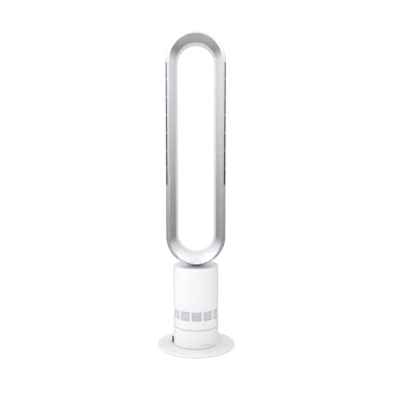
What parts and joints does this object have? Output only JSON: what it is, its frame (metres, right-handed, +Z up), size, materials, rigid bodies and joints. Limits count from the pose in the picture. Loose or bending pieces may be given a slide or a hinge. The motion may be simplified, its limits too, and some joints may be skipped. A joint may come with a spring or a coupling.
{
  "type": "tower fan",
  "caption": "Bladeless tower fan: round foot plate, white cylindrical body with air windows and a tall hollow silver loop that swings from side to side.",
  "frame": {"origin": "centre of the round footprint, on the floor", "axes": "+Z up, the fan blows towards -Y, +X to the right seen from the front"},
  "size_m": [0.25, 0.25, 1.0045],
  "materials": {
    "white_plastic": "smooth white",
    "warm_white_plastic": "smooth warm white",
    "silver_paint": "satin metallic silver",
    "grey_mesh": "fine perforated grey",
    "black_plastic": "fine matte black",
    "grey_plastic": "matte grey",
    "button_grey": "matte light grey",
    "rubber": "matte",
    "steel": "plain",
    "motor_steel": "plain",
    "brass": "plain",
    "board_green": "solder resist",
    "natural_plastic": "natural acetal",
    "foam": "open-cell foam"
  },
  "bodies": {
    "base": {"base_plate": "white_plastic", "base_weight": "steel", "underside_plate": "black_plastic", "foot_pads": "rubber", "base_screws": "steel", "lower_housing": "white_plastic", "power_inlet": "black_plastic", "inlet_pin": "brass", "inlet_collar": "rubber", "control_board": "board_green", "mains_board": "board_green", "bearing_deck": "black_plastic", "deck_screws": "steel", "ring_gear": "natural_plastic", "ring_gear_screws": "steel", "glide_ring": "natural_plastic"},
    "head": {"turntable": "black_plastic", "retaining_clip": "steel", "swing_motor": "motor_steel", "swing_motor_screws": "steel", "turntable_screws": "steel", "driver_board": "board_green", "driver_board_screws": "steel", "body_shell": "white_plastic", "intake_mesh": "grey_mesh", "bellmouth": "black_plastic", "bellmouth_screws": "steel", "casing_seal": "rubber", "fan_casing": "black_plastic", "stator": "grey_plastic", "motor_damper": "rubber", "fan_motor": "motor_steel", "motor_bearings": "steel", "bucket_lid": "grey_plastic", "foam_liner": "foam", "transition_duct": "black_plastic", "neck_seal": "rubber", "neck_screws": "steel", "loop_front_shell": "silver_paint", "loop_rear_shell": "warm_white_plastic", "loop_gasket": "rubber", "flow_splitter": "grey_plastic", "outlet_grids": "black_plastic"},
    "impeller": {"impeller": "grey_plastic", "impeller_shaft": "steel", "impeller_nut": "steel"},
    "swing_pinion": {"swing_pinion": "natural_plastic"},
    "power_button": {"power_button": "button_grey"},
    "speed_button": {"speed_button": "button_grey"},
    "swing_button": {"swing_button": "button_grey"}
  },
  "joints": [
    {"name": "swing", "type": "hinge", "parent": "base", "child": "head", "pos_m": [0, 0, 0.0658], "axis": [0, 0, 1], "range_deg": [-35, 35]},
    {"name": "pinion_spin", "type": "hinge", "parent": "head", "child": "swing_pinion", "pos_m": [-0.03118, 0.018, 0.056], "axis": [0, 0, 1], "range_deg": [-175.5, 175.5]},
    {"name": "impeller_spin", "type": "hinge", "parent": "head", "child": "impeller", "pos_m": [0, 0, 0.162], "axis": [0, 0, 1], "continuous": true},
    {"name": "power_button_press", "type": "slide", "parent": "base", "child": "power_button", "axis": [-0.4633, 0.8862, 0], "range_m": [0, 0.001], "stiffness_N_per_m": 400, "springref_m": -0.0005},
    {"name": "speed_button_press", "type": "slide", "parent": "base", "child": "speed_button", "axis": [-0.4633, 0.8862, 0], "range_m": [0, 0.001], "stiffness_N_per_m": 400, "springref_m": -0.0005},
    {"name": "swing_button_press", "type": "slide", "parent": "base", "child": "swing_button", "axis": [-0.4633, 0.8862, 0], "range_m": [0, 0.001], "stiffness_N_per_m": 400, "springref_m": -0.0005}
  ],
  "couplings": [
    {"joint": "pinion_spin", "follows": "swing", "ratio": -5}
  ]
}
